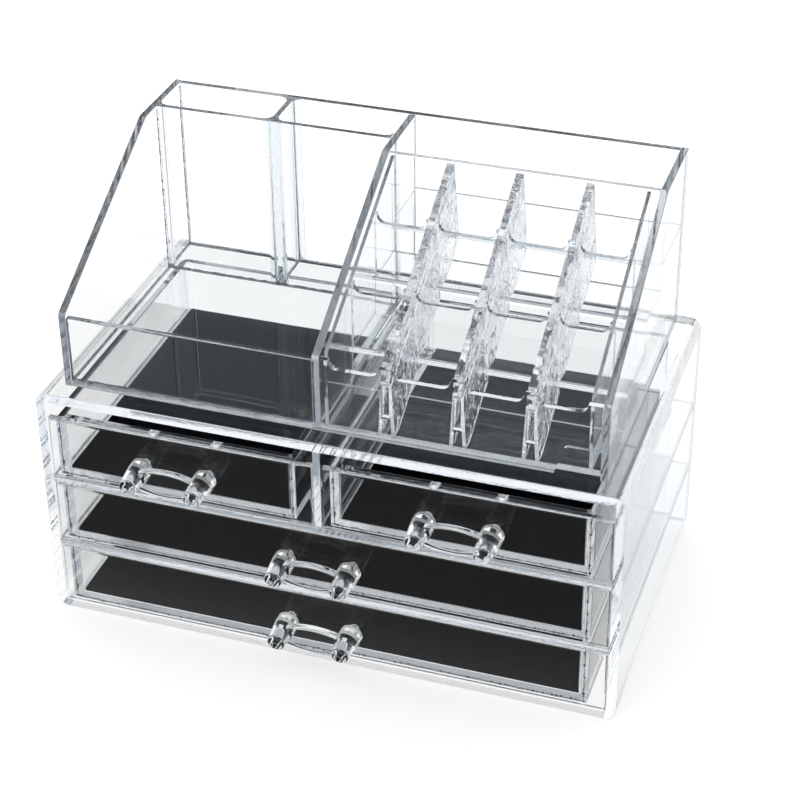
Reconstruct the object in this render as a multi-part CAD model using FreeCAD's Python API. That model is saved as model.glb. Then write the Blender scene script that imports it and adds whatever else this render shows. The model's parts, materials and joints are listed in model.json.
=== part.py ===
import FreeCAD, Part
import os

# Acrylic makeup organizer: a cabinet with four drawers, and an open organizer that stands on its top.
# Millimetres, +Z up, the front of the drawers towards -Y, the origin at the centre of the underside.

# Cabinet: a sleeve open at the front, with a back panel, two shelves and a centre divider glued in.
cabinet_width = 240.0
cabinet_depth = 135.0
cabinet_side_wall = 4.0
cabinet_top_wall = 4.1
cabinet_bottom_wall = 3.6
cabinet_outer_corner = 5.0
cabinet_inner_corner = 0.8
cabinet_back_thickness = 3.0
shelf_thickness = 2.8
divider_thickness = 3.0
divider_shift = -1.5
top_headroom = 7.4
glue_film = 0.1
edge_softening = 0.4
cutter_overshoot = 1.0

# Drawers: a moulded box with a front panel glued on, a loose liner and a pegged handle.
drawer_height = 27.9
running_gap_below = 0.2
running_gap_above = 0.5
front_side_gap = 0.5
front_panel_thickness = 3.0
front_panel_rounding = 1.2
box_inset = 5.2
box_shift = -2.4
box_wall = 2.8
box_floor = 2.8
box_top_drop = 0.2
box_back_gap = 1.0
box_inner_corner = 1.5
box_floor_corner = 0.8
box_outer_corner = 4.0
box_outer_bottom_rounding = 1.0
liner_thickness = 0.8
liner_margin = 0.7
liner_corner = 0.6
liner_film = 0.1

# Handles: two turned posts with pegs, joined by a bowed grip.
post_spacing = 27.0
post_reach = 14.5
post_root_diameter = 9.4
post_front_diameter = 7.2
post_collar_length = 2.4
post_front_rounding = 1.0
peg_diameter = 4.0
peg_hole_clearance = 0.3
peg_protrusion = 0.6
grip_middle_height = 12.6
grip_end_height = 9.4
grip_thickness = 3.6
grip_reach = 7.6
grip_rounding = 1.2
grip_post_overlap = 1.0
handle_drop = 1.6

# Organizer: flat panels glued to a floor, standing on the cabinet.
organizer_height = 79.3
organizer_side_inset = 9.6
organizer_front_inset = 8.3
organizer_back_inset = 4.7
stacking_gap = 0.2
end_panel_thickness = 3.0
organizer_back_thickness = 3.0
organizer_floor_thickness = 2.7
slope_front_height = 32.8
slope_run = 85.0
panel_corner = 2.5
lip_drop = 1.5
front_thickness = 2.6
bin_depth = 21.6
bin_wall = 2.2
bin_corner = 2.4
bin_bead_edge = 0.4
left_bin_width = 49.9
rear_bin_floor_height = 46.8
rear_bin_floor_thickness = 2.0

# Lipstick rack: three stepped rows of four pockets, parted by hollow wedge-shaped ridges.
lipstick_side_wall_thickness = 3.0
rack_side_gap = 1.4
rack_wall = 1.4
first_column = 23.3
ridge_pitch = 28.2
last_column = 22.2
rack_right_gap = 3.5
ridge_count = 3
ridge_crest = 3.2
ridge_draft = 0.055
ridge_shell = 1.4
ridge_solid_top = 11.0
ridge_end_clearance = 1.0
lipstick_back_thickness = 2.0
lipstick_back_setback = 83.2
row_wall_thickness = 2.0
middle_row_setback = 30.2
rear_row_setback = 58.7
row_flat_drop = 4.2
row_horn_radius = 3.6
row_horn_land = 0.5
slot_width = 3.3
slot_drop = 3.1
slot_height = 14.7
middle_step_height = 20.3
rear_step_height = 35.8
step_sheet = 1.8
step_bend = 1.2
notch_width = 17.8
notch_height = 12.5
notch_lean = 4.0
notch_rounding = 2.2

# Places worked out from the sizes above.
half_width = cabinet_width / 2
cabinet_front = -cabinet_depth / 2
cabinet_back = cabinet_depth / 2
sleeve_inside = half_width - cabinet_side_wall
bottom_drawer_z = cabinet_bottom_wall + running_gap_below
lower_shelf_z = bottom_drawer_z + drawer_height + running_gap_above
middle_drawer_z = lower_shelf_z + shelf_thickness + running_gap_below
upper_shelf_z = middle_drawer_z + drawer_height + running_gap_above
top_drawer_z = upper_shelf_z + shelf_thickness + running_gap_below
ceiling = top_drawer_z + drawer_height + top_headroom
cabinet_height = ceiling + cabinet_top_wall
cabinet_back_face = cabinet_back - cabinet_back_thickness
divider_left = divider_shift - divider_thickness / 2
box_front = cabinet_front + front_panel_thickness + glue_film
box_back = cabinet_back_face - box_back_gap

organizer_base = cabinet_height + stacking_gap
organizer_top = organizer_base + organizer_height
organizer_front = cabinet_front + organizer_front_inset
organizer_back = cabinet_back - organizer_back_inset
organizer_half = half_width - organizer_side_inset
organizer_inside = organizer_half - end_panel_thickness
tray_floor = organizer_base + organizer_floor_thickness
back_panel_face = organizer_back - organizer_back_thickness
bin_front = back_panel_face - bin_depth - bin_wall
bin_divider_x = -organizer_inside + left_bin_width + bin_wall / 2
rack_right_x = organizer_inside - rack_right_gap - rack_wall
rack_left_x = rack_right_x - last_column - (ridge_count - 1) * ridge_pitch - first_column
side_wall_right = rack_left_x - rack_wall - rack_side_gap
lipstick_side_wall_x = side_wall_right - lipstick_side_wall_thickness
lipstick_back_y = organizer_front + lipstick_back_setback
middle_row_y = organizer_front + middle_row_setback
rear_row_y = organizer_front + rear_row_setback
middle_step_z = organizer_base + middle_step_height
rear_step_z = organizer_base + rear_step_height
rack_front = organizer_front + front_thickness + glue_film
rack_back = lipstick_back_y - glue_film
slope_rate = (organizer_height - slope_front_height) / slope_run


def block(x0, x1, y0, y1, z0, z1):
    return Part.makeBox(x1 - x0, y1 - y0, z1 - z0, FreeCAD.Vector(x0, y0, z0))


def side_profile(points, x0, x1):
    """A plate with the given (y, z) outline, from x0 to x1."""
    corners = [FreeCAD.Vector(x0, y, z) for y, z in points]
    face = Part.Face(Part.makePolygon(corners + corners[:1]))
    return face.extrude(FreeCAD.Vector(x1 - x0, 0, 0))


def front_profile(points, y0, y1):
    """A plate with the given (x, z) outline, from y0 to y1."""
    corners = [FreeCAD.Vector(x, y0, z) for x, z in points]
    face = Part.Face(Part.makePolygon(corners + corners[:1]))
    return face.extrude(FreeCAD.Vector(0, y1 - y0, 0))


def edges_along(shape, axis, keep=None):
    """Straight edges parallel to the axis (0, 1 or 2) whose middle passes keep."""
    found = []
    for edge in shape.Edges:
        direction = edge.tangentAt(edge.FirstParameter)
        middle = edge.valueAt((edge.FirstParameter + edge.LastParameter) / 2)
        if abs(abs(direction[axis]) - 1) < 1e-6 and (keep is None or keep(middle)):
            found.append(edge)
    return found


def soften(shape):
    """Take the sharpness off every edge, as flame polishing does."""
    return shape.makeFillet(edge_softening, shape.Edges)


def slope_height(y):
    """Height of the slanted top edge at a depth y."""
    return organizer_base + slope_front_height + slope_rate * (y - organizer_front)


def row_flat(row_y):
    """Height of the flat between two ridges, in the row wall whose front is at row_y."""
    return slope_height(row_y) - row_flat_drop


def corner_bead(x, y, side, depth_side, bottom):
    """A concave bead up a bin's inner corner at (x, y), towards the given sides of x and y."""
    size = bin_corner + bin_bead_edge
    x0, x1 = sorted((x, x + side * size))
    y0, y1 = sorted((y, y + depth_side * size))
    hollow = Part.makeCylinder(bin_corner, organizer_top - bottom,
                               FreeCAD.Vector(x + side * size, y + depth_side * size, bottom))
    return block(x0, x1, y0, y1, bottom, organizer_top).cut(hollow)


def cabinet_shell():
    outer = block(-half_width, half_width, cabinet_front, cabinet_back, 0, cabinet_height)
    outer = outer.makeFillet(cabinet_outer_corner, edges_along(outer, 1))
    outer = outer.makeFillet(edge_softening, [e for f in outer.Faces if abs(f.normalAt(0, 0).y) > 0.99
                                              for e in f.Edges])
    inner = block(-sleeve_inside, sleeve_inside, cabinet_front, cabinet_back, cabinet_bottom_wall, ceiling)
    inner = inner.makeFillet(cabinet_inner_corner, edges_along(inner, 1))
    return outer.cut(inner)


def cabinet_back_panel():
    panel = block(-sleeve_inside + glue_film, sleeve_inside - glue_film, cabinet_back_face, cabinet_back,
                  cabinet_bottom_wall + glue_film, ceiling - glue_film)
    panel = panel.makeFillet(cabinet_inner_corner, edges_along(panel, 1))
    return panel


def shelf(z):
    return soften(block(-sleeve_inside + glue_film, sleeve_inside - glue_film,
                        cabinet_front, cabinet_back_face - glue_film, z, z + shelf_thickness))


def centre_divider():
    return soften(block(divider_left, divider_left + divider_thickness,
                        cabinet_front, cabinet_back_face - glue_film,
                        upper_shelf_z + shelf_thickness + glue_film, ceiling - glue_film))


def box_sides(x0, x1):
    """The outer sides of the box behind a front panel from x0 to x1; the box sits left of its middle."""
    return x0 + box_inset + box_shift, x1 - box_inset + box_shift


def handle_centre(x0, x1, z):
    """Middle of the pair of peg holes on a front panel that spans x0 to x1 and starts at z."""
    return (x0 + x1) / 2 + box_shift, z + drawer_height / 2 - handle_drop


def post_places(x0, x1, z):
    middle, height = handle_centre(x0, x1, z)
    return [(middle + side * post_spacing / 2, height) for side in (-1, 1)]


def drill_peg_holes(shape, x0, x1, z):
    for x, height in post_places(x0, x1, z):
        hole = Part.makeCylinder(peg_diameter / 2 + peg_hole_clearance / 2, cabinet_depth / 4,
                                 FreeCAD.Vector(x, cabinet_front - cutter_overshoot, height), FreeCAD.Vector(0, 1, 0))
        shape = shape.cut(hole)
    return shape


def front_panel(x0, x1, z):
    panel = block(x0, x1, cabinet_front, cabinet_front + front_panel_thickness, z, z + drawer_height)
    front_face = [f for f in panel.Faces if f.normalAt(0, 0).y < -0.99][0]
    panel = panel.makeFillet(front_panel_rounding, front_face.Edges)
    return drill_peg_holes(panel, x0, x1, z)


def drawer_box(x0, x1, z):
    left, right = box_sides(x0, x1)
    top = z + drawer_height - box_top_drop
    outer = block(left, right, box_front, box_back, z, top)
    outer = outer.makeFillet(box_outer_corner, edges_along(outer, 2, lambda p: p.y > 0))
    bottom = [f for f in outer.Faces if f.normalAt(0, 0).z < -0.99][0]
    outer = outer.makeFillet(box_outer_bottom_rounding, bottom.Edges)
    inner = block(left + box_wall, right - box_wall, box_front + box_wall, box_back - box_wall,
                  z + box_floor, top + drawer_height)
    inner = inner.makeFillet(box_inner_corner, edges_along(inner, 2))
    floor = [f for f in inner.Faces if f.normalAt(0, 0).z < -0.99][0]
    inner = inner.makeFillet(box_floor_corner, floor.Edges)
    box = outer.cut(inner)
    top_face = [f for f in box.Faces if f.normalAt(0, 0).z > 0.99 and f.CenterOfMass.z > top - 0.01][0]
    box = box.makeFillet(edge_softening, top_face.Edges)
    return drill_peg_holes(box, x0, x1, z)


def drawer_liner(x0, x1, z):
    left, right = box_sides(x0, x1)
    side = box_wall + liner_margin
    bottom = z + box_floor + liner_film
    liner = block(left + side, right - side, box_front + box_wall + liner_margin,
                  box_back - box_wall - liner_margin, bottom, bottom + liner_thickness)
    return liner.makeFillet(liner_corner, edges_along(liner, 2))


def handle_post(x, height):
    """A turned post along -Y: peg, collar, taper and rounded front."""
    peg = peg_diameter / 2
    root = post_root_diameter / 2
    front = post_front_diameter / 2
    seat = cabinet_front - glue_film
    peg_end = box_front + box_wall + peg_protrusion
    collar_end = seat - post_collar_length
    tip = seat - post_reach
    outline = [(0, peg_end), (peg, peg_end), (peg, seat), (root, seat), (root, collar_end), (front, tip),
               (0, tip)]
    corners = [FreeCAD.Vector(x + r, y, height) for r, y in outline]
    face = Part.Face(Part.makePolygon(corners + corners[:1]))
    post = face.revolve(FreeCAD.Vector(x, 0, height), FreeCAD.Vector(0, 1, 0), 360)
    rim = [e for e in post.Edges if abs(e.CenterOfMass.y - tip) < 0.01 and e.Length > front]
    return post.makeFillet(post_front_rounding, rim)


def handle_grip(middle, height):
    """The bowed bar between the posts, taller in its middle."""
    half_span = post_spacing / 2 - post_front_diameter / 2 + grip_post_overlap
    half_end = grip_end_height / 2
    half_middle = grip_middle_height / 2
    y = cabinet_front - glue_film - grip_reach - grip_thickness / 2
    ends = {}
    for side in (-1, 1):
        for level in (-1, 1):
            ends[side, level] = FreeCAD.Vector(middle + side * half_span, y, height + level * half_end)
    crown = [FreeCAD.Vector(middle, y, height + level * half_middle) for level in (-1, 1)]
    outline = Part.Wire([
        Part.Arc(ends[-1, -1], crown[0], ends[1, -1]).toShape(),
        Part.makeLine(ends[1, -1], ends[1, 1]),
        Part.Arc(ends[1, 1], crown[1], ends[-1, 1]).toShape(),
        Part.makeLine(ends[-1, 1], ends[-1, -1])])
    grip = Part.Face(outline).extrude(FreeCAD.Vector(0, grip_thickness, 0))
    bows = [e for e in grip.Edges if e.Curve.TypeId == "Part::GeomCircle"]
    return grip.makeFillet(grip_rounding, bows)


def drawer_handle(x0, x1, z):
    middle, height = handle_centre(x0, x1, z)
    handle = handle_grip(middle, height)
    for x, level in post_places(x0, x1, z):
        handle = handle.fuse(handle_post(x, level))
    return handle.removeSplitter()


def organizer_floor():
    return soften(block(-organizer_inside + glue_film, organizer_inside - glue_film,
                        rack_front, back_panel_face - glue_film,
                        organizer_base, tray_floor))


def slanted_panel(x0, x1, y1, foot):
    """An upright plate with the slanted front edge, from the organizer's front to y1, on the given foot."""
    bend = organizer_front + slope_run
    outline = foot + [(y1, organizer_top), (bend, organizer_top), (organizer_front, slope_height(organizer_front))]
    panel = side_profile(outline, x0, x1)
    corners = edges_along(panel, 0, lambda p: p.y < bend + 1 and p.z > slope_height(p.y) - 1)
    panel = panel.makeFillet(panel_corner, corners)
    faces = [f for f in panel.Faces if abs(f.normalAt(0, 0).x) > 0.99]
    return panel.makeFillet(edge_softening, [e for f in faces for e in f.Edges])


def end_panel(x0, x1):
    panel = slanted_panel(x0, x1, organizer_back,
                          [(organizer_front, organizer_base), (organizer_back, organizer_base)])
    return panel


def lipstick_side_wall():
    """It stands on the floor, with a toe down to the base between the lip and the rack's front."""
    y1 = back_panel_face - glue_film
    toe = organizer_front + front_thickness
    floor = tray_floor + glue_film
    return slanted_panel(lipstick_side_wall_x, side_wall_right, y1,
                         [(organizer_front, organizer_base), (toe, organizer_base), (toe, floor), (y1, floor)])


def organizer_back_panel():
    return soften(block(-organizer_inside + glue_film, organizer_inside - glue_film,
                        back_panel_face, organizer_back, organizer_base, organizer_top))


def front_lip():
    return soften(block(-organizer_inside + glue_film, lipstick_side_wall_x - glue_film,
                        organizer_front, organizer_front + front_thickness,
                        organizer_base, slope_height(organizer_front) - lip_drop))


def bin_front_wall():
    """The front of both brush bins, with a bead up each outer corner."""
    left = -organizer_inside + glue_film
    right = lipstick_side_wall_x - glue_film
    bottom = tray_floor + glue_film
    back = bin_front + bin_wall
    wall = block(left, right, bin_front, back, bottom, organizer_top)
    wall = wall.fuse(corner_bead(left, back, 1, 1, bottom))
    wall = wall.fuse(corner_bead(right, back, -1, 1, bottom))
    return wall.removeSplitter()


def bin_divider():
    """It parts the two brush bins and flares into them at both ends."""
    left = bin_divider_x - bin_wall / 2
    right = bin_divider_x + bin_wall / 2
    front = bin_front + bin_wall + glue_film
    back = back_panel_face - glue_film
    bottom = tray_floor + glue_film
    divider = block(left, right, front, back, bottom, organizer_top)
    for x, side in ((left, -1), (right, 1)):
        divider = divider.fuse(corner_bead(x, front, side, 1, bottom))
        divider = divider.fuse(corner_bead(x, back, side, -1, bottom))
    return divider.removeSplitter()


def rear_bin_floor():
    top = organizer_base + rear_bin_floor_height
    return soften(block(side_wall_right + glue_film, organizer_inside - glue_film,
                        lipstick_back_y + lipstick_back_thickness + glue_film,
                        back_panel_face - glue_film, top - rear_bin_floor_thickness, top))


def lipstick_back_wall():
    return soften(block(side_wall_right + glue_film, organizer_inside - glue_film,
                        lipstick_back_y, lipstick_back_y + lipstick_back_thickness,
                        rear_step_z - step_sheet, organizer_top))


def ridge_centres():
    first = rack_left_x + first_column
    return [first + index * ridge_pitch for index in range(ridge_count)]


def crest_half(depth):
    """Half the width of a ridge, at a depth below its crest."""
    return ridge_crest / 2 + ridge_draft * depth


def row_troughs():
    """The (left, right) ends of the four troughs in a row wall, clear of the ridges between them."""
    beside = crest_half(row_flat_drop + slope_rate * row_wall_thickness) + glue_film + row_horn_land
    at_wall = glue_film + row_horn_land
    lefts = [rack_left_x + at_wall] + [x + beside for x in ridge_centres()]
    rights = [x - beside for x in ridge_centres()] + [rack_right_x - at_wall]
    return list(zip(lefts, rights))


def lipstick_steps():
    """One bent sheet: the floors of the rear and middle rows, and the risers under their walls."""
    outline = [(rack_back, rear_step_z), (rear_row_y, rear_step_z), (rear_row_y, middle_step_z),
               (middle_row_y, middle_step_z), (middle_row_y, tray_floor + glue_film),
               (middle_row_y + step_sheet, tray_floor + glue_film),
               (middle_row_y + step_sheet, middle_step_z - step_sheet),
               (rear_row_y + step_sheet, middle_step_z - step_sheet),
               (rear_row_y + step_sheet, rear_step_z - step_sheet), (rack_back, rear_step_z - step_sheet)]
    sheet = side_profile(outline, side_wall_right + glue_film, organizer_inside - glue_film)
    undersides = [(middle_row_y + step_sheet, middle_step_z - step_sheet),
                  (rear_row_y + step_sheet, rear_step_z - step_sheet)]
    bends = edges_along(sheet, 0, lambda p: any(abs(p.y - y) + abs(p.z - z) < 0.01 for y, z in undersides))
    return sheet.makeFillet(step_bend, bends)


def rack_outline():
    """Side outline of a ridge: it stands on the steps and passes over the two row walls."""
    lower = tray_floor + glue_film
    outline = [(rack_front, lower)]
    for row_y, step_z in ((middle_row_y, middle_step_z), (rear_row_y, rear_step_z)):
        front = row_y - glue_film
        back = row_y + row_wall_thickness + glue_film
        over = row_flat(row_y) + glue_film
        outline += [(front, lower), (front, over), (back, over)]
        lower = step_z + glue_film
        outline.append((back, lower))
    return outline + [(rack_back, lower), (rack_back, slope_height(rack_back)),
                      (rack_front, slope_height(rack_front))]


def wedge(middle, inset, top):
    """A wedge that widens downwards under the slanted crest, its flat top lowered and its sides inset."""
    y0 = rack_front - ridge_end_clearance
    run = rack_back + ridge_end_clearance - y0
    crest = slope_height(y0)
    foot = crest - organizer_base
    outline = [(middle + side * (crest_half(depth) - inset), y0, crest - depth)
               for side, depth in ((-1, top), (1, top), (1, foot), (-1, foot))]
    corners = [FreeCAD.Vector(*point) for point in outline]
    face = Part.Face(Part.makePolygon(corners + corners[:1]))
    return face.extrude(FreeCAD.Vector(0, run, run * slope_rate))


def ridge(middle):
    """A hollow wedge between two columns of pockets."""
    shape = side_profile(rack_outline(), middle - ridge_pitch / 2, middle + ridge_pitch / 2)
    return shape.common(wedge(middle, 0, 0)).cut(wedge(middle, ridge_shell, ridge_solid_top))


def rack_side(x0, x1):
    return side_profile(rack_outline(), x0, x1)


def comb(wall, row_y, top_z, slot_top):
    """Cut the troughs and the ridges' slots into a wall across the rack."""
    y0 = row_y - 1
    y1 = row_y + front_thickness + 1
    flat = row_flat(row_y)
    for left, right in row_troughs():
        trough = block(left, right, y0, y1, flat, top_z + 2 * row_horn_radius)
        trough = trough.makeFillet(row_horn_radius, edges_along(trough, 1, lambda p: p.z < flat + 0.01))
        wall = wall.cut(trough)
    for middle in ridge_centres():
        wall = wall.cut(block(middle - slot_width / 2, middle + slot_width / 2, y0, y1,
                              slot_top - slot_height, slot_top))
    return wall


def row_wall(row_y, step_z):
    """A comb across the rack, with rounded troughs between horns that clasp the ridges."""
    left = rack_left_x - rack_wall
    right = rack_right_x + rack_wall
    flat = row_flat(row_y)
    top = slope_height(row_y)
    wall = block(left, right, row_y, row_y + row_wall_thickness, step_z + glue_film, top)
    wall = comb(wall, row_y, top, flat - slot_drop)
    passage = crest_half(row_flat_drop + slope_rate * row_wall_thickness) + glue_film
    spans = [(x - passage, x + passage) for x in ridge_centres()]
    spans += [(left - cutter_overshoot, rack_left_x + glue_film),
              (rack_right_x - glue_film, right + cutter_overshoot)]
    for start, end in spans:
        wall = wall.cut(block(start, end, row_y - cutter_overshoot,
                              row_y + row_wall_thickness + cutter_overshoot, flat, top + cutter_overshoot))
    return wall


def lipstick_front_wall():
    """The rack's front, with a slot into each hollow ridge and a lifting notch at its lower right."""
    left = side_wall_right + glue_film
    right = organizer_inside - glue_film
    y0 = organizer_front
    y1 = organizer_front + front_thickness
    top = slope_height(y0) - edge_softening
    wall = block(left, right, y0, y1, organizer_base, top)
    wall = comb(wall, y0, top, row_flat(y0) - slot_drop)
    notch_top = organizer_base + notch_height
    below = organizer_base - cutter_overshoot
    beyond = right + cutter_overshoot
    notch = front_profile([(right - notch_width, below), (beyond, below),
                           (beyond, notch_top), (right - notch_width + notch_lean, notch_top)],
                          y0 - cutter_overshoot, y1 + cutter_overshoot)
    notch = notch.makeFillet(notch_rounding, edges_along(notch, 1, lambda p: p.z > notch_top - 0.01
                                                         and p.x < right))
    return wall.cut(notch)


def export(node, shape):
    if not shape.isValid() or len(shape.Solids) != 1:
        raise ValueError(node + " is not one valid solid")
    shape.Solids[0].exportStep(os.path.join("parts", node + ".step"))


def build_cabinet():
    export("cabinet_shell", cabinet_shell())
    export("cabinet_back_panel", cabinet_back_panel())
    export("lower_shelf", shelf(lower_shelf_z))
    export("upper_shelf", shelf(upper_shelf_z))
    export("centre_divider", centre_divider())


def build_drawers():
    outer = sleeve_inside - front_side_gap
    top_left_end = divider_left - front_side_gap
    top_right_start = divider_left + divider_thickness + front_side_gap
    places = {"top_left": (-outer, top_left_end, top_drawer_z),
              "top_right": (top_right_start, outer, top_drawer_z),
              "middle": (-outer, outer, middle_drawer_z), "bottom": (-outer, outer, bottom_drawer_z)}
    for name, place in places.items():
        export(name + "_drawer_box", drawer_box(*place))
        export(name + "_front_panel", front_panel(*place))
        export(name + "_liner", drawer_liner(*place))
        export(name + "_handle", drawer_handle(*place))


def build_organizer():
    export("organizer_floor", organizer_floor())
    export("left_end_panel", end_panel(-organizer_half, -organizer_inside))
    export("right_end_panel", end_panel(organizer_inside, organizer_half))
    export("organizer_back_panel", organizer_back_panel())
    export("front_lip", front_lip())
    export("bin_front_wall", bin_front_wall())
    export("bin_divider", bin_divider())
    export("rear_bin_floor", rear_bin_floor())


def build_lipstick_rack():
    export("lipstick_side_wall", lipstick_side_wall())
    export("lipstick_back_wall", lipstick_back_wall())
    export("lipstick_steps", lipstick_steps())
    export("lipstick_front_wall", lipstick_front_wall())
    export("middle_row_wall", row_wall(middle_row_y, middle_step_z))
    export("rear_row_wall", row_wall(rear_row_y, rear_step_z))
    for index, middle in enumerate(ridge_centres()):
        export("lipstick_ridge_" + str(index + 1), ridge(middle))
    export("rack_left_wall", rack_side(rack_left_x - rack_wall, rack_left_x))
    export("rack_right_wall", rack_side(rack_right_x, rack_right_x + rack_wall))


os.makedirs("parts", exist_ok=True)
build_cabinet()
build_drawers()
build_organizer()
build_lipstick_rack()
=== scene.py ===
"""Dresses the clear acrylic make-up organizer: polished panels, cement, liners, studio and camera.

Lengths are in metres unless a class says that its sizes are in millimetres.
"""

import json
import logging
import math
from dataclasses import dataclass
from enum import Enum
from typing import Any, Iterator, Sequence

import bmesh
import bpy
from mathutils import Matrix, Vector

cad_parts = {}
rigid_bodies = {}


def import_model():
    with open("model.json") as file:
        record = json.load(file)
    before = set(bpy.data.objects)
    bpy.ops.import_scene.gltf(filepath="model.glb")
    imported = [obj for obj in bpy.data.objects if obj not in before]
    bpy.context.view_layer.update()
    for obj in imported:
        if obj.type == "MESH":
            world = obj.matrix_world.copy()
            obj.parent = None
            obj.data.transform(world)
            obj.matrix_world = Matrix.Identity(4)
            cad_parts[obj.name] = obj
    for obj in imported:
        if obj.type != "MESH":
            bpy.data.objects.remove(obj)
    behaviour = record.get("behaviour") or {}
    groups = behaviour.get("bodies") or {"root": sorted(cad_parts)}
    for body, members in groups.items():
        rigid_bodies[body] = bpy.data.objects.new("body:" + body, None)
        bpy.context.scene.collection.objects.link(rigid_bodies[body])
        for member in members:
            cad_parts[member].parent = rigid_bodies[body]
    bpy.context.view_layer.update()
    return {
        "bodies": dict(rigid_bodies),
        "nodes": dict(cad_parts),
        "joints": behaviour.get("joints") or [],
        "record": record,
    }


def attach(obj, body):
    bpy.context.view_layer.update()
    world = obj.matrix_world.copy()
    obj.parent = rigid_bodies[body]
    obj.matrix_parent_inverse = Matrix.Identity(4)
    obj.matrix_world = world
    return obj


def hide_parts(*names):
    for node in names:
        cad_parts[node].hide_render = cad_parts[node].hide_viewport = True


LOG = logging.getLogger("organizer")
MM = 0.001
EDGE_MARK = "cut_edge"
WHITE = (1.0, 1.0, 1.0, 1.0)
FACING = 0.7  # a face whose normal has more than this along an axis faces that way
SHEET_FACE = 0.5  # a sheet's faces have more than this along its axis, its edges less

Point = tuple[float, float, float]
Colour = tuple[float, float, float]
Seam = tuple[Point, Point]


class Socket:
    """A node's output that does arithmetic by adding Math nodes."""

    def __init__(self, graph: "ShaderGraph", link: bpy.types.NodeSocket) -> None:
        """Wraps one output socket of the graph."""
        self.graph = graph
        self.link = link

    def _math(self, operation: str, first: Any, second: Any) -> "Socket":
        """Adds one Math node and returns its value."""
        return self.graph.node("ShaderNodeMath", {"operation": operation}, {0: first, 1: second})["Value"]

    def __add__(self, other: Any) -> "Socket":
        """Sum."""
        return self._math("ADD", self, other)

    def __sub__(self, other: Any) -> "Socket":
        """Difference."""
        return self._math("SUBTRACT", self, other)

    def __mul__(self, other: Any) -> "Socket":
        """Product."""
        return self._math("MULTIPLY", self, other)

    def __rsub__(self, other: Any) -> "Socket":
        """Difference, the other way round."""
        return self._math("SUBTRACT", other, self)

    def at_most(self, limit: float) -> "Socket":
        """The smaller of the value and the limit."""
        return self._math("MINIMUM", self, limit)

    __radd__ = __add__
    __rmul__ = __mul__


class NodeOutputs:
    """The outputs of one node, by name or by place."""

    def __init__(self, graph: "ShaderGraph", node: bpy.types.Node) -> None:
        """Keeps the node and its graph."""
        self.graph = graph
        self.node = node

    def __getitem__(self, name: str) -> Socket:
        """The named output."""
        return Socket(self.graph, self.node.outputs[name])

    def number(self, index: int) -> Socket:
        """The output at a place in the list, for nodes whose outputs share a name."""
        return Socket(self.graph, self.node.outputs[index])


class ShaderGraph:
    """Builds one node tree: a material's, the world's or a geometry node group's."""

    def __init__(self, tree: bpy.types.NodeTree) -> None:
        """Empties the tree.

        Args:
            tree: The node tree to fill.
        """
        self.tree = tree
        tree.nodes.clear()

    def node(self, kind: str, settings: dict[str, Any] | None = None,
             values: dict[Any, Any] | None = None) -> NodeOutputs:
        """Adds a node.

        Args:
            kind: The node's type.
            settings: Properties set on the node before its sockets.
            values: Numbers, colours or links for its inputs, by name or number.

        Returns:
            The node's outputs.
        """
        node = self.tree.nodes.new(kind)
        for name, value in (settings or {}).items():
            setattr(node, name, value)
        for name, value in (values or {}).items():
            if isinstance(value, Socket):
                self.tree.links.new(value.link, node.inputs[name])
            else:
                node.inputs[name].default_value = value
        return NodeOutputs(self, node)

    def ramp(self, value: Socket, low: float, high: float, start: float = 0.0, end: float = 1.0) -> Socket:
        """Turns a value into another by a smooth step.

        Args:
            value: The value to read.
            low: Where the step starts.
            high: Where it ends.
            start: The result up to the step.
            end: The result past the step.

        Returns:
            The stepped value.
        """
        return self.node("ShaderNodeMapRange", {"interpolation_type": "SMOOTHSTEP"},
                         {"Value": value, "From Min": low, "From Max": high,
                          "To Min": start, "To Max": end})["Result"]

    def noise(self, place: Socket, scale: float, detail: float) -> Socket:
        """Adds a cloudy noise.

        Args:
            place: Where it is read.
            scale: How fine it is, in cycles per metre.
            detail: How many finer layers it has.

        Returns:
            The noise, from 0 to 1.
        """
        return self.node("ShaderNodeTexNoise", None,
                         {"Vector": place, "Scale": scale, "Detail": detail})["Fac"]

    def output(self, kind: str, surface: Socket) -> None:
        """Ends the tree in the given output node."""
        self.node(kind, None, {"Surface": surface})


def new_material(name: str) -> tuple[bpy.types.Material, ShaderGraph]:
    """Starts a material.

    Args:
        name: The material's name.

    Returns:
        The material and its empty graph.
    """
    material = bpy.data.materials.new(name)
    material.use_nodes = True
    return material, ShaderGraph(material.node_tree)


def mirrored_once(graph: ShaderGraph, ray: NodeOutputs) -> Socket:
    """Tells a plain reflection from light that is guided inside the plastic.

    Args:
        graph: The graph to add the test to.
        ray: The outputs of a Light Path node.

    Returns:
        1 for light that was mirrored just once, else 0.
    """
    return graph.node("ShaderNodeMath", {"operation": "COMPARE"},
                      {0: ray["Glossy Depth"], 1: 1.0, 2: 0.5})["Value"]


class Edges(Enum):
    """Which faces of a clear piece are its sawn and polished edges: an axis, and whether it is a sheet's."""

    SHEET_X = (0, True)
    SHEET_Y = (1, True)
    SHEET_Z = (2, True)
    SLEEVE_ENDS = (1, False)
    BOX_RIM = (2, False)
    NONE = (-1, False)

    def cut(self, normal: Vector) -> bool:
        """Whether a face is a cut edge.

        Args:
            normal: The face's normal.

        Returns:
            True for the narrow faces round a sheet, and for the ends or the rim of a hollow piece.
        """
        axis, sheet = self.value
        if axis < 0:
            return False
        along = abs(normal[axis])
        return along < SHEET_FACE if sheet else along > FACING


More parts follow.
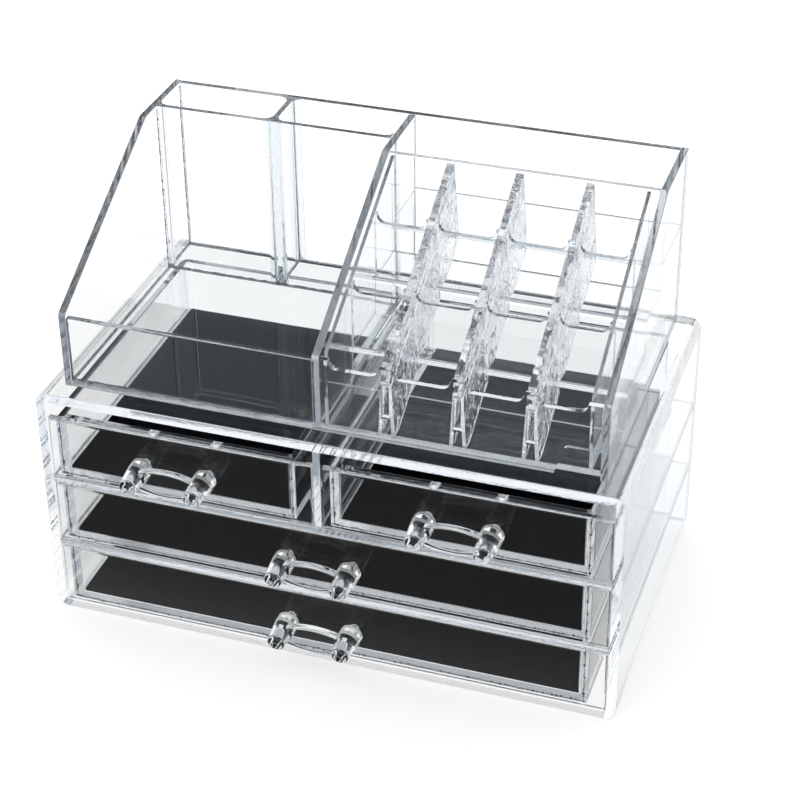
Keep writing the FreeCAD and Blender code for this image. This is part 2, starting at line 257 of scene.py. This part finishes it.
@dataclass(frozen=True)
class ClearAcrylic:
    """Clear plastic: polished faces with a faint waviness, cut edges greyer, rougher and saw-marked."""

    name: str
    gloss: float = 0.2
    tint: Colour = (0.985, 0.99, 0.99)
    ior: float = 1.49
    ripple_scale: float = 35.0
    ripple_depth: float = 0.00002
    edge_tint: Colour = (0.72, 0.77, 0.81)
    edge_roughness: float = 0.12
    saw_scale: float = 900.0
    saw_depth: float = 0.000025
    noise_detail: float = 2.0

    def material(self) -> bpy.types.Material:
        """Builds the material.

        Returns:
            A glass-like Principled material that reads the cut_edge attribute.
        """
        material, graph = new_material(self.name)
        place = graph.node("ShaderNodeTexCoord")["Object"]
        ripple = graph.noise(place, self.ripple_scale, self.noise_detail)
        edge = graph.node("ShaderNodeAttribute", {"attribute_name": EDGE_MARK})["Fac"]
        sawn = edge * graph.noise(place, self.saw_scale, self.noise_detail)
        height = ripple * self.ripple_depth + sawn * self.saw_depth
        bump = graph.node("ShaderNodeBump", None,
                          {"Strength": 1.0, "Distance": 1.0, "Height": height})["Normal"]
        colour = graph.node("ShaderNodeMix", {"data_type": "RGBA"}, {
            "Factor": sawn, "A": (*self.tint, 1.0), "B": (*self.edge_tint, 1.0)})["Result"]
        surface = graph.node("ShaderNodeBsdfPrincipled", None, {
            "Base Color": colour, "Roughness": sawn * self.edge_roughness, "IOR": self.ior,
            "Specular Tint": (self.gloss, self.gloss, self.gloss, 1.0),
            "Transmission Weight": 1.0, "Normal": bump})["BSDF"]
        graph.output("ShaderNodeOutputMaterial", surface)
        return material


@dataclass(frozen=True)
class LinerSheet:
    """Thin black foam-backed sheet, matt with a fine tooth."""

    name: str = "black_liner_sheet"
    dark: Colour = (0.0030, 0.0034, 0.0048)
    light: Colour = (0.0080, 0.0088, 0.0115)
    tooth_scale: float = 1800.0
    tooth_detail: float = 3.0
    tooth_share: float = 0.2
    tooth_depth: float = 0.00005
    tooth_strength: float = 0.15
    cloud_scale: float = 28.0
    cloud_detail: float = 4.0
    roughness: float = 0.6
    roughness_spread: float = 0.15
    shine: float = 0.02

    def material(self) -> bpy.types.Material:
        """Builds the material.

        Returns:
            A matt Principled material.
        """
        material, graph = new_material(self.name)
        place = graph.node("ShaderNodeTexCoord")["Object"]
        tooth = graph.noise(place, self.tooth_scale, self.tooth_detail)
        cloud = graph.noise(place, self.cloud_scale, self.cloud_detail)
        colour = graph.node("ShaderNodeMix", {"data_type": "RGBA"}, {
            "Factor": cloud * (1.0 - self.tooth_share) + tooth * self.tooth_share,
            "A": (*self.dark, 1.0), "B": (*self.light, 1.0)})["Result"]
        bump = graph.node("ShaderNodeBump", None, {
            "Strength": self.tooth_strength, "Distance": self.tooth_depth, "Height": tooth})["Normal"]
        surface = graph.node("ShaderNodeBsdfPrincipled", None, {
            "Base Color": colour, "Roughness": cloud * self.roughness_spread + self.roughness,
            "Specular IOR Level": self.shine, "Normal": bump})["BSDF"]
        graph.output("ShaderNodeOutputMaterial", surface)
        return material


@dataclass(frozen=True)
class Studio:
    """A white table and backdrop, a soft room and the camera."""

    white: float = 1.0
    room_light: float = 0.85
    mirrored_back_wall: float = 0.3
    mirrored_behind_camera: float = 0.06
    mirrored_tint: Colour = (0.78, 0.89, 1.0)
    guided_share: float = 0.75
    overhead_from: float = 0.62
    overhead_to: float = 0.85
    upwards_from: float = 0.05
    upwards_to: float = 0.3
    behind_from: float = -0.3
    behind_to: float = 0.15
    floor_reach: float = 3.0
    floor_grey: float = 0.9
    floor_roughness: float = 0.6
    floor_glow: float = 0.45
    # strength of the painted dark reflection: the table in front of the drawers as seen in polished faces
    painted_dark_reflection: float = 0.25
    front_start: float = -0.02
    front_end: float = -0.12
    clear_bounces: int = 64
    diffuse_bounces: int = 3
    see_through_bounces: int = 24
    sensor_millimetres: float = 36.0
    clip_start: float = 0.01
    camera_place: Point = (0.2433, -0.6866, 0.5596)
    azimuth: float = 18.835
    elevation: float = 31.572
    roll: float = -0.685
    focal_pixels: float = 2116.4
    frame_pixels: int = 800
    axis_pixel: tuple[float, float] = (397.611, 341.555)

    def camera(self) -> None:
        """Adds the camera and makes it the scene's."""
        data = bpy.data.cameras.new("studio_camera")
        data.sensor_width = self.sensor_millimetres
        data.lens = self.focal_pixels / self.frame_pixels * data.sensor_width
        data.shift_x = (self.frame_pixels / 2 - self.axis_pixel[0]) / self.frame_pixels
        data.shift_y = -(self.frame_pixels / 2 - self.axis_pixel[1]) / self.frame_pixels
        data.clip_start = self.clip_start
        azimuth = math.radians(self.azimuth)
        elevation = math.radians(self.elevation)
        back = Vector((math.sin(azimuth) * math.cos(elevation), -math.cos(azimuth) * math.cos(elevation),
                       math.sin(elevation)))
        level = Vector((math.cos(azimuth), math.sin(azimuth), 0.0))
        up = back.cross(level)
        roll = math.radians(self.roll)
        right = math.cos(roll) * level + math.sin(roll) * up
        top = -math.sin(roll) * level + math.cos(roll) * up
        turn = Matrix((right, top, back)).transposed().to_4x4()
        camera = bpy.data.objects.new("studio_camera", data)
        camera.matrix_world = Matrix.Translation(self.camera_place) @ turn
        bpy.context.scene.collection.objects.link(camera)
        bpy.context.scene.camera = camera

    def room(self) -> None:
        """Sets the world: white to look at or through clear plastic, softer where it lights or mirrors."""
        world = bpy.data.worlds.new("studio_room")
        world.use_nodes = True
        bpy.context.scene.world = world
        graph = ShaderGraph(world.node_tree)
        ray = graph.node("ShaderNodeLightPath")
        direction = graph.node("ShaderNodeSeparateXYZ", None,
                               {"Vector": graph.node("ShaderNodeTexCoord")["Generated"]})
        overhead = graph.ramp(direction["Z"], self.overhead_from, self.overhead_to)
        upwards = graph.ramp(direction["Z"], self.upwards_from, self.upwards_to)
        behind_camera = graph.ramp(direction["Y"], self.behind_from, self.behind_to, 1.0, 0.0)
        mirrored = (self.mirrored_back_wall
                    - behind_camera * (self.mirrored_back_wall - self.mirrored_behind_camera))
        once = mirrored_once(graph, ray)
        guided = ray["Glossy Depth"].at_most(1.0) - once
        dimmed = (once + guided * self.guided_share) * upwards * (1.0 - overhead)
        seen = self.white - dimmed * (self.white - mirrored)
        lit = ray["Is Diffuse Ray"]
        camera = ray["Is Camera Ray"]
        level = camera * self.white + (1.0 - camera) * (lit * self.room_light + (1.0 - lit) * seen)
        tint = graph.node("ShaderNodeMix", {"data_type": "RGBA"},
                          {"Factor": dimmed, "A": WHITE, "B": (*self.mirrored_tint, 1.0)})["Result"]
        glow = graph.node("ShaderNodeBackground", None, {"Color": tint, "Strength": level})
        graph.output("ShaderNodeOutputWorld", glow["Background"])

    def floor(self) -> None:
        """Adds the white table; in front of the drawers a painted dark zone shows only where polished faces
        mirror it: a painted dark reflection.
        """
        reach = self.floor_reach
        mesh = bpy.data.meshes.new("table_top")
        mesh.from_pydata([(-reach, -reach, 0), (reach, -reach, 0), (reach, reach, 0), (-reach, reach, 0)], [],
                         [(0, 1, 2, 3)])
        table = bpy.data.objects.new("table_top", mesh)
        bpy.context.scene.collection.objects.link(table)
        material, graph = new_material("white_table")
        ray = graph.node("ShaderNodeLightPath")
        depth = graph.node("ShaderNodeSeparateXYZ", None,
                           {"Vector": graph.node("ShaderNodeTexCoord")["Object"]})["Y"]
        front = graph.ramp(depth, self.front_end, self.front_start, 1.0, 0.0)
        mirrored = mirrored_once(graph, ray) * front
        grey = (self.floor_grey, self.floor_grey, self.floor_grey, 1.0)
        paint = graph.node("ShaderNodeBsdfPrincipled", None,
                           {"Base Color": grey, "Roughness": self.floor_roughness})
        glow = graph.node("ShaderNodeEmission", None, {"Color": WHITE, "Strength": self.floor_glow})
        white = graph.node("ShaderNodeAddShader", None, {0: paint["BSDF"], 1: glow["Emission"]})["Shader"]
        # painted dark reflection: the table in front of the drawers glows dark only for rays mirrored once,
        # so the front panels mirror a dark zone
        dark = graph.node("ShaderNodeEmission", None,
                          {"Color": WHITE, "Strength": self.painted_dark_reflection})["Emission"]
        both = graph.node("ShaderNodeMixShader", None, {0: mirrored, 1: white, 2: dark})
        graph.output("ShaderNodeOutputMaterial", both["Shader"])
        mesh.materials.append(material)

    def build(self) -> None:
        """Sets up everything round the organizer."""
        scene = bpy.context.scene
        scene.view_settings.view_transform = "Standard"
        scene.cycles.max_bounces = self.clear_bounces
        scene.cycles.transmission_bounces = self.clear_bounces
        scene.cycles.glossy_bounces = self.clear_bounces
        scene.cycles.diffuse_bounces = self.diffuse_bounces
        scene.cycles.transparent_max_bounces = self.see_through_bounces
        self.camera()
        self.room()
        self.floor()


@dataclass(frozen=True)
class Bench:
    """What every sub-assembly is finished with: the loaded frame and the materials."""

    frame: dict[str, Any]
    clear: bpy.types.Material
    sides: bpy.types.Material
    grip: bpy.types.Material
    liner: bpy.types.Material
    moulded: bpy.types.Material
    cement: bpy.types.Material
    smooth_below: float = math.radians(50.0)
    flat_below: float = math.radians(0.3)
    weld_distance: float = 0.000002

    def polish(self, node: str, body: str, material: bpy.types.Material, edges: Edges,
               sides: bpy.types.Material | None = None) -> bpy.types.Object:
        """Makes the polished piece that stands for a CAD node: welded, smooth over its roundings.

        Args:
            node: The CAD node's name.
            body: The body that the piece rides on.
            material: Its finish.
            edges: Which of its faces are cut edges.
            sides: The finish of the faces to the left and right, if it is another.

        Returns:
            The new piece.
        """
        shape = bmesh.new()
        shape.from_mesh(self.frame["nodes"][node].data)
        bmesh.ops.remove_doubles(shape, verts=shape.verts, dist=self.weld_distance)
        bmesh.ops.dissolve_degenerate(shape, edges=shape.edges, dist=self.weld_distance)
        bmesh.ops.triangulate(shape, faces=shape.faces)
        shape.faces.index_update()
        shading = self.corner_normals(shape)
        mesh = bpy.data.meshes.new(node + "_polished")
        shape.to_mesh(mesh)
        shape.free()
        mesh.shade_smooth()
        mesh.normals_split_custom_set(shading)
        mark = mesh.attributes.new(EDGE_MARK, "FLOAT", "FACE")
        mark.data.foreach_set("value", [float(edges.cut(face.normal)) for face in mesh.polygons])
        mesh.materials.append(material)
        if sides is not None:
            mesh.materials.append(sides)
            for face in mesh.polygons:
                face.material_index = int(abs(face.normal.x) > FACING)
        piece = bpy.data.objects.new(node + "_polished", mesh)
        bpy.context.scene.collection.objects.link(piece)
        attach(piece, body)
        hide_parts(node)
        LOG.info("%s: %d faces, on %s", piece.name, len(piece.data.polygons), body)
        return piece

    def corner_normals(self, shape: bmesh.types.BMesh) -> list[Vector]:
        """Works out shading normals that leave flats flat and turn smoothly over roundings.

        Args:
            shape: The welded shape.

        Returns:
            A normal for each corner of each face, led by the largest flat that meets there.
        """
        flats = self.flat_areas(shape)
        close = math.cos(self.smooth_below)
        normals = []
        for face in shape.faces:
            for corner in face.loops:
                total = Vector()
                for other in corner.vert.link_faces:
                    if other.normal.dot(face.normal) > close:
                        total += other.normal * flats[other.index]
                normals.append(total.normalized() if total.length > 0.0 else face.normal.copy())
        return normals

    def flat_areas(self, shape: bmesh.types.BMesh) -> list[float]:
        """Finds the flats of a shape.

        Args:
            shape: The welded shape.

        Returns:
            For each face, the area of the flat that it belongs to.
        """
        level = math.cos(self.flat_below)
        areas = [0.0] * len(shape.faces)
        seen: set[int] = set()
        for start in shape.faces:
            if start.index in seen:
                continue
            seen.add(start.index)
            flat = [start]
            for face in flat:
                for edge in face.edges:
                    for other in edge.link_faces:
                        if other.index not in seen and other.normal.dot(start.normal) > level:
                            seen.add(other.index)
                            flat.append(other)
            total = sum(face.calc_area() for face in flat)
            for face in flat:
                areas[face.index] = total
        return areas

    def lay_liner(self, node: str) -> None:
        """Gives a liner its matt black finish.

        Args:
            node: The liner's CAD node.
        """
        sheet = self.frame["nodes"][node]
        sheet.data.materials.clear()
        sheet.data.materials.append(self.liner)
        LOG.info("%s: black liner", node)

    def plain_mesh(self, piece: bpy.types.Object) -> bpy.types.Mesh:
        """The piece's mesh with its modifiers worked in."""
        graph = bpy.context.evaluated_depsgraph_get()
        return bpy.data.meshes.new_from_object(piece.evaluated_get(graph), preserve_all_data_layers=True,
                                               depsgraph=graph)


@dataclass(frozen=True)
class CementSeam:
    """Solvent cement along glued joints: a thin uneven bead with trapped bubbles. Sizes in millimetres."""

    bead_radius: float = 0.30
    bead_unevenness: float = 0.16
    bead_step: float = 1.5
    bead_sides: int = 6
    bubble_radius: float = 0.42
    bubble_spacing: float = 2.3
    bubble_scatter: float = 0.35
    bubble_smallest: float = 0.35
    bubble_segments: int = 8
    bubble_rings: int = 5
    seed: int = 7

    def tree(self) -> bpy.types.NodeTree:
        """Builds the geometry nodes that turn seam lines into cement.

        Returns:
            The node group, with a named input for each size.
        """
        group = bpy.data.node_groups.new("cement_seam", "GeometryNodeTree")
        face = group.interface
        face.new_socket("Geometry", in_out="INPUT", socket_type="NodeSocketGeometry")
        for name, kind in (("Bead Radius", "Float"), ("Bead Unevenness", "Float"), ("Bead Step", "Float"),
                           ("Bead Sides", "Int"), ("Bubble Radius", "Float"), ("Bubble Smallest", "Float"),
                           ("Bubble Segments", "Int"), ("Bubble Rings", "Int"), ("Bubble Spacing", "Float"),
                           ("Bubble Scatter", "Float"), ("Seed", "Int"), ("Cement", "Material")):
            face.new_socket(name, in_out="INPUT", socket_type="NodeSocket" + kind)
        face.new_socket("Geometry", in_out="OUTPUT", socket_type="NodeSocketGeometry")
        graph = ShaderGraph(group)
        given = graph.node("NodeGroupInput")
        line = graph.node("GeometryNodeMeshToCurve", None, {"Mesh": given["Geometry"]})["Curve"]
        path = graph.node("GeometryNodeResampleCurve", {"mode": "LENGTH"},
                          {"Curve": line, "Length": given["Bead Step"]})["Curve"]
        swell = graph.node("FunctionNodeRandomValue", {"data_type": "FLOAT"}, {
            2: given["Bead Radius"] - given["Bead Unevenness"],
            3: given["Bead Radius"] + given["Bead Unevenness"], "Seed": given["Seed"]}).number(1)
        ring = graph.node("GeometryNodeCurvePrimitiveCircle", None,
                          {"Resolution": given["Bead Sides"], "Radius": 1.0})["Curve"]
        bead = graph.node("GeometryNodeCurveToMesh", None, {
            "Curve": path, "Profile Curve": ring, "Scale": swell, "Fill Caps": True})["Mesh"]
        spots = graph.node("GeometryNodeCurveToPoints", {"mode": "LENGTH"},
                           {"Curve": line, "Length": given["Bubble Spacing"]})["Points"]
        reach = given["Bubble Scatter"]
        apart = graph.node("ShaderNodeCombineXYZ", None, {"X": reach, "Y": reach, "Z": reach})["Vector"]
        back = graph.node("ShaderNodeVectorMath", {"operation": "SCALE"}, {0: apart, "Scale": -1.0})["Vector"]
        drift = graph.node("FunctionNodeRandomValue", {"data_type": "FLOAT_VECTOR"},
                           {0: back, 1: apart, "Seed": given["Seed"] + 1}).number(0)
        strewn = graph.node("GeometryNodeSetPosition", None, {"Geometry": spots, "Offset": drift})["Geometry"]
        ball = graph.node("GeometryNodeMeshUVSphere", None, {
            "Segments": given["Bubble Segments"], "Rings": given["Bubble Rings"],
            "Radius": given["Bubble Radius"]})["Mesh"]
        size = graph.node("FunctionNodeRandomValue", {"data_type": "FLOAT"},
                          {2: given["Bubble Smallest"], 3: 1.0, "Seed": given["Seed"] + 2}).number(1)
        bubbles = graph.node("GeometryNodeInstanceOnPoints", None,
                             {"Points": strewn, "Instance": ball, "Scale": size})["Instances"]
        both = graph.node("GeometryNodeJoinGeometry", None, {"Geometry": bead})
        group.links.new(bubbles.link, both.node.inputs["Geometry"])
        solid = graph.node("GeometryNodeRealizeInstances", None, {"Geometry": both["Geometry"]})["Geometry"]
        round_off = graph.node("GeometryNodeSetShadeSmooth", None, {"Geometry": solid})["Geometry"]
        done = graph.node("GeometryNodeSetMaterial", None,
                          {"Geometry": round_off, "Material": given["Cement"]})["Geometry"]
        graph.node("NodeGroupOutput", None, {"Geometry": done})
        return group

    def run(self, bench: Bench, body: str, lines: Sequence[Seam]) -> bpy.types.Object:
        """Runs cement along the seam lines of one body.

        Args:
            bench: The frame and materials.
            body: The body that the cement rides on.
            lines: Start and end of each seam, in millimetres.

        Returns:
            The cement as one plain mesh.
        """
        mesh = bpy.data.meshes.new(body + "_cement")
        ends = [[value * MM for value in end] for line in lines for end in line]
        mesh.from_pydata(ends, [(2 * index, 2 * index + 1) for index in range(len(lines))], [])
        piece = bpy.data.objects.new(body + "_cement", mesh)
        bpy.context.scene.collection.objects.link(piece)
        group = bpy.data.node_groups.get("cement_seam") or self.tree()
        modifier = piece.modifiers.new("cement", "NODES")
        modifier.node_group = group
        sizes = {"Bead Radius": self.bead_radius * MM, "Bead Unevenness": self.bead_unevenness * MM,
                 "Bead Step": self.bead_step * MM, "Bead Sides": self.bead_sides,
                 "Bubble Radius": self.bubble_radius * MM, "Bubble Smallest": self.bubble_smallest,
                 "Bubble Segments": self.bubble_segments, "Bubble Rings": self.bubble_rings,
                 "Bubble Spacing": self.bubble_spacing * MM, "Bubble Scatter": self.bubble_scatter * MM,
                 "Seed": self.seed, "Cement": bench.cement}
        for socket in group.interface.items_tree:
            if socket.in_out == "INPUT" and socket.name in sizes:
                modifier[socket.identifier] = sizes[socket.name]
        piece.data = bench.plain_mesh(piece)
        piece.modifiers.clear()
        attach(piece, body)
        LOG.info("%s: %d faces on %d seams", piece.name, len(piece.data.polygons), len(lines))
        return piece


@dataclass(frozen=True)
class Cabinet:
    """The sleeve with its back panel, shelves and divider glued in. Sizes in millimetres."""

    half_inside: float = 116.0
    front: float = -66.0
    back: float = 64.4
    shelf_tops: tuple[float, float] = (35.0, 66.4)
    shelf_thickness: float = 2.8
    divider_sides: tuple[float, float] = (-3.0, 0.0)
    floor: float = 3.6
    ceiling: float = 101.9

    def seams(self) -> Iterator[Seam]:
        """Lists the glued joints, front to back and along the back panel.

        Returns:
            The start and end of each joint.
        """
        for top in self.shelf_tops:
            for side in (-self.half_inside, self.half_inside):
                for height in (top, top - self.shelf_thickness):
                    yield (side, self.front, height), (side, self.back, height)
        for side in self.divider_sides:
            for height in (self.ceiling, self.shelf_tops[1]):
                yield (side, self.front, height), (side, self.back, height)
        for height in (self.floor, self.ceiling):
            yield (-self.half_inside, self.back, height), (self.half_inside, self.back, height)

    def build(self, bench: Bench) -> None:
        """Finishes the cabinet's pieces.

        Args:
            bench: The frame and materials.
        """
        bench.polish("cabinet_shell", "cabinet", bench.clear, Edges.SLEEVE_ENDS, sides=bench.sides)
        bench.polish("cabinet_back_panel", "cabinet", bench.clear, Edges.SHEET_Y)
        bench.polish("lower_shelf", "cabinet", bench.clear, Edges.SHEET_Z)
        bench.polish("upper_shelf", "cabinet", bench.clear, Edges.SHEET_Z)
        bench.polish("centre_divider", "cabinet", bench.clear, Edges.SHEET_X)
        cement = CementSeam(bead_radius=0.2, bead_unevenness=0.1, bubble_radius=0.26)
        cement.run(bench, "cabinet", list(self.seams()))


@dataclass(frozen=True)
class Drawer:
    """A moulded box with its front panel, liner and handle. Sizes in millimetres."""

    name: str
    box_left: float
    box_right: float
    bottom: float
    height: float = 27.7
    wall: float = 2.8
    glue_plane: float = -64.45
    seam_above_bottom: float = 1.4
    seam_from_edge: float = 1.0

    def seams(self) -> Iterator[Seam]:
        """Lists the joints between box and front panel, down each side wall and along the bottom.

        Returns:
            The start and end of each joint.
        """
        low = self.bottom + self.seam_above_bottom
        high = self.bottom + self.height - self.seam_from_edge
        left = self.box_left + self.seam_from_edge
        right = self.box_right - self.seam_from_edge
        for outer, inwards in ((self.box_left, 1.0), (self.box_right, -1.0)):
            x = outer + inwards * self.wall / 2
            yield (x, self.glue_plane, low), (x, self.glue_plane, high)
        yield (left, self.glue_plane, low), (right, self.glue_plane, low)

    def build(self, bench: Bench) -> None:
        """Finishes the drawer's pieces.

        Args:
            bench: The frame and materials.
        """
        body = self.name + "_drawer"
        bench.polish(body + "_box", body, bench.clear, Edges.BOX_RIM)
        bench.polish(self.name + "_front_panel", body, bench.clear, Edges.SHEET_Y)
        bench.polish(self.name + "_handle", body, bench.grip, Edges.NONE)
        bench.lay_liner(self.name + "_liner")
        cement = CementSeam(bead_radius=0.16, bead_unevenness=0.08, bubble_radius=0.65, bubble_spacing=1.9,
                            seed=11)
        cement.run(bench, body, list(self.seams()))


@dataclass(frozen=True)
class Organizer:
    """The open top: end panels, back, floor, lip and brush bins. Sizes in millimetres."""

    half_inside: float = 107.4
    front: float = -56.6
    back: float = 59.8
    floor_top: float = 108.9
    bin_front: float = 36.0
    bin_back: float = 38.2
    divider_sides: tuple[float, float] = (-57.5, -55.3)
    rack_side: float = -5.2
    bin_top: float = 184.0
    lip_top: float = 136.0

    def seams(self) -> Iterator[Seam]:
        """Lists the glued joints round the floor, up the corners and along the bin walls.

        Returns:
            The start and end of each joint.
        """
        ends = (-self.half_inside, self.half_inside)
        for side in ends:
            yield (side, self.front, self.floor_top), (side, self.back, self.floor_top)
            yield (side, self.back, self.floor_top), (side, self.back, self.bin_top)
        yield (-self.half_inside, self.front, self.floor_top), (self.rack_side, self.front, self.floor_top)
        yield (-self.half_inside, self.back, self.floor_top), (self.half_inside, self.back, self.floor_top)
        for y in (self.bin_front, self.bin_back):
            yield (-self.half_inside, y, self.floor_top), (self.rack_side, y, self.floor_top)
        for side in (-self.half_inside, self.rack_side):
            yield (side, self.bin_front, self.floor_top), (side, self.bin_front, self.bin_top)
            yield (side, self.front, self.floor_top), (side, self.front, self.lip_top)
        for side in self.divider_sides:
            yield (side, self.bin_back, self.floor_top), (side, self.back, self.floor_top)

    def build(self, bench: Bench) -> None:
        """Finishes the organizer's own panels.

        Args:
            bench: The frame and materials.
        """
        for node in ("organizer_floor", "rear_bin_floor"):
            bench.polish(node, "organizer", bench.clear, Edges.SHEET_Z)
        for node in ("left_end_panel", "right_end_panel", "bin_divider", "lipstick_side_wall"):
            bench.polish(node, "organizer", bench.clear, Edges.SHEET_X)
        for node in ("organizer_back_panel", "front_lip", "bin_front_wall"):
            bench.polish(node, "organizer", bench.clear, Edges.SHEET_Y)
        CementSeam(seed=23).run(bench, "organizer", list(self.seams()))


@dataclass(frozen=True)
class LipstickRack:
    """The stepped rack of twelve pockets inside the organizer."""

    ridges: int = 3

    def build(self, bench: Bench) -> None:
        """Finishes the rack's walls, steps and ridges.

        Args:
            bench: The frame and materials.
        """
        for node in ("lipstick_back_wall", "lipstick_front_wall", "middle_row_wall", "rear_row_wall"):
            bench.polish(node, "organizer", bench.clear, Edges.SHEET_Y)
        for node in ("rack_left_wall", "rack_right_wall"):
            bench.polish(node, "organizer", bench.clear, Edges.SHEET_X)
        bench.polish("lipstick_steps", "organizer", bench.clear, Edges.NONE)
        for index in range(1, self.ridges + 1):
            bench.polish(f"lipstick_ridge_{index}", "organizer", bench.moulded, Edges.NONE)


SHEET = ClearAcrylic("clear_acrylic_sheet")
SIDES = ClearAcrylic("clear_acrylic_sides", gloss=1.0)
GRIP = ClearAcrylic("clear_acrylic_grip", ripple_scale=120.0)
MOULDED = ClearAcrylic("clear_acrylic_moulded", gloss=0.6, tint=(0.89, 0.905, 0.925), ripple_scale=150.0,
                       ripple_depth=0.0009)
CEMENT = ClearAcrylic("clear_cement", gloss=0.4, tint=(0.24, 0.26, 0.29), ripple_scale=300.0)
DRAWERS = (Drawer("top_left", box_left=-112.7, box_right=-11.1, bottom=66.6),
           Drawer("top_right", box_left=3.3, box_right=107.9, bottom=66.6),
           Drawer("middle", box_left=-112.7, box_right=107.9, bottom=35.2),
           Drawer("bottom", box_left=-112.7, box_right=107.9, bottom=3.8))


def main() -> None:
    """Builds the scene."""
    logging.basicConfig(level=logging.INFO)
    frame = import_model()
    Studio().build()
    bench = Bench(frame=frame, clear=SHEET.material(), sides=SIDES.material(), grip=GRIP.material(),
                  liner=LinerSheet().material(), moulded=MOULDED.material(), cement=CEMENT.material())
    Cabinet().build(bench)
    for drawer in DRAWERS:
        drawer.build(bench)
    Organizer().build(bench)
    LipstickRack().build(bench)


if __name__ == "__main__":
    main()
